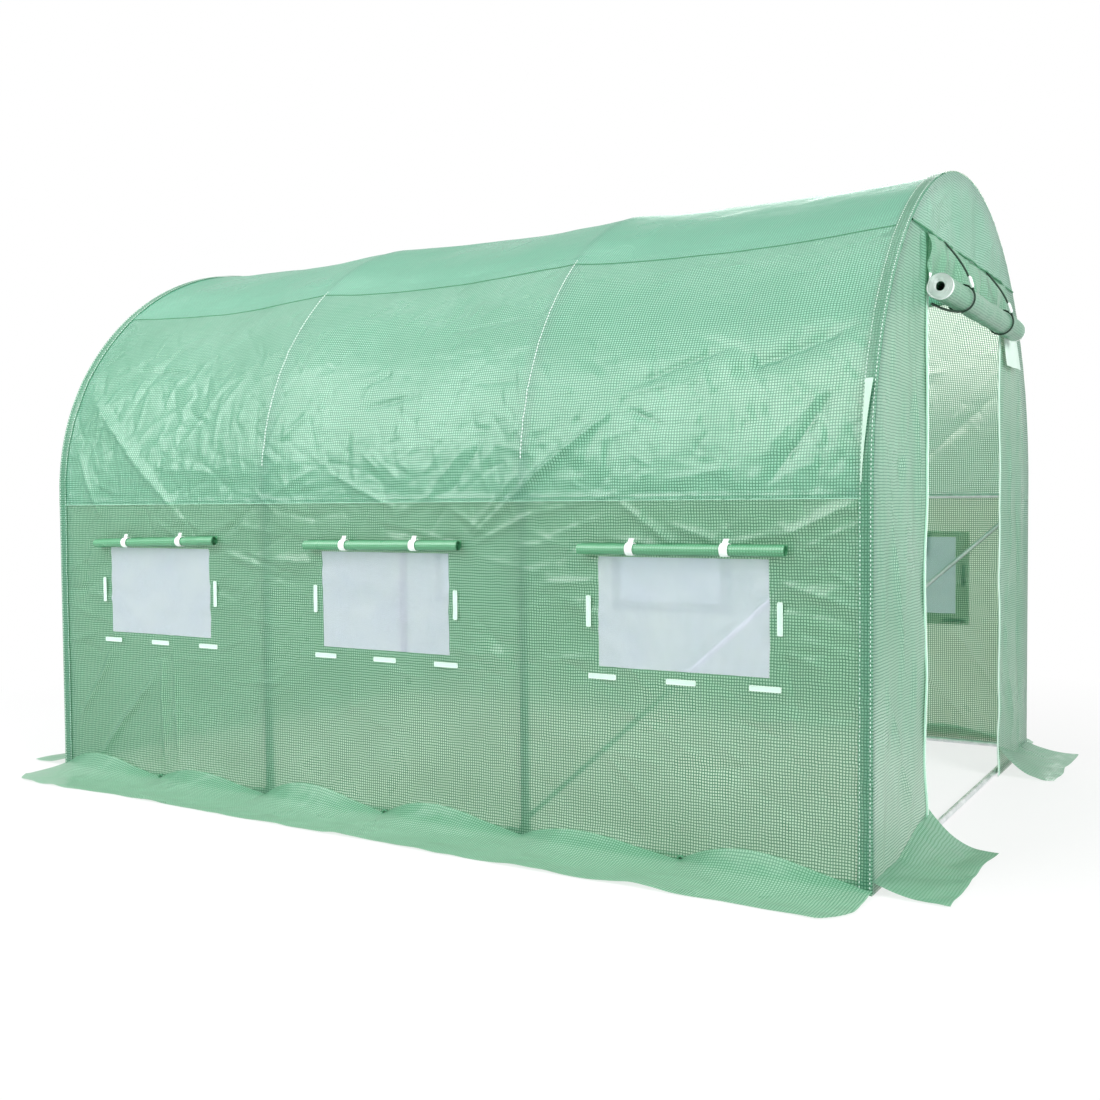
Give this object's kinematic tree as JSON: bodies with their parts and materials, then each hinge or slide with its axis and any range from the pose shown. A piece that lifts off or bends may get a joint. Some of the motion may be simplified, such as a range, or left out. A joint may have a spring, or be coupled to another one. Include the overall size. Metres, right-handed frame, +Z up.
{
  "type": "polytunnel greenhouse",
  "caption": "Walk-in polytunnel greenhouse: steel hoops and rails under a sewn green sheet cover with a doorway, rolled-up door curtain, mesh side windows with roll-up flaps and ground skirts.",
  "frame": {"origin": "on the ground in the middle of the tunnel", "axes": "+Z up, -Y out of the doorway, +X to the right of someone who walks in at the door"},
  "size_m": [2.48, 3.38, 1.93],
  "materials": {
    "steel_tube": "galvanised steel tube",
    "steel_fitting": "galvanised pressed clip",
    "cover_sheet": "translucent green grid-reinforced polyethylene sheet",
    "flap_sheet": "green polyethylene sheet of the flaps and the door curtain",
    "insect_mesh": "fine white insect mesh",
    "white_tape": "white woven tape",
    "tie_cord": "dark woven cord"
  },
  "bodies": {
    "root": {"base_fittings": "steel_fitting", "base_rail_front": "steel_tube", "base_rail_left": "steel_tube", "base_rail_rear": "steel_tube", "base_rail_right": "steel_tube", "brace_left": "steel_tube", "brace_right": "steel_tube", "door_curtain": "flap_sheet", "door_ties": "tie_cord", "door_zips": "white_tape", "front_gable": "cover_sheet", "front_panel_left": "cover_sheet", "front_panel_right": "cover_sheet", "hoop_front": "steel_tube", "hoop_rear": "steel_tube", "hoop_second": "steel_tube", "hoop_third": "steel_tube", "purlin_left": "steel_tube", "purlin_ridge": "steel_tube", "purlin_right": "steel_tube", "rear_gable": "cover_sheet", "rear_wall": "cover_sheet", "ridge_fittings": "steel_fitting", "roof_band": "cover_sheet", "shoulder_left": "cover_sheet", "shoulder_right": "cover_sheet", "side_wall_left": "cover_sheet", "side_wall_right": "cover_sheet", "skirt_front_left": "cover_sheet", "skirt_front_right": "cover_sheet", "skirt_left": "cover_sheet", "skirt_rear": "cover_sheet", "skirt_right": "cover_sheet", "waist_fittings": "steel_fitting", "window_flap_right_front": "flap_sheet", "window_flap_right_middle": "flap_sheet", "window_flap_right_rear": "flap_sheet", "window_meshes_left": "insect_mesh", "window_meshes_right": "insect_mesh", "window_patches_left": "white_tape", "window_patches_right": "white_tape", "window_roll_left_front": "flap_sheet", "window_roll_left_middle": "flap_sheet", "window_roll_left_rear": "flap_sheet", "window_straps_left": "white_tape", "window_straps_right": "white_tape"}
  },
  "joints": []
}
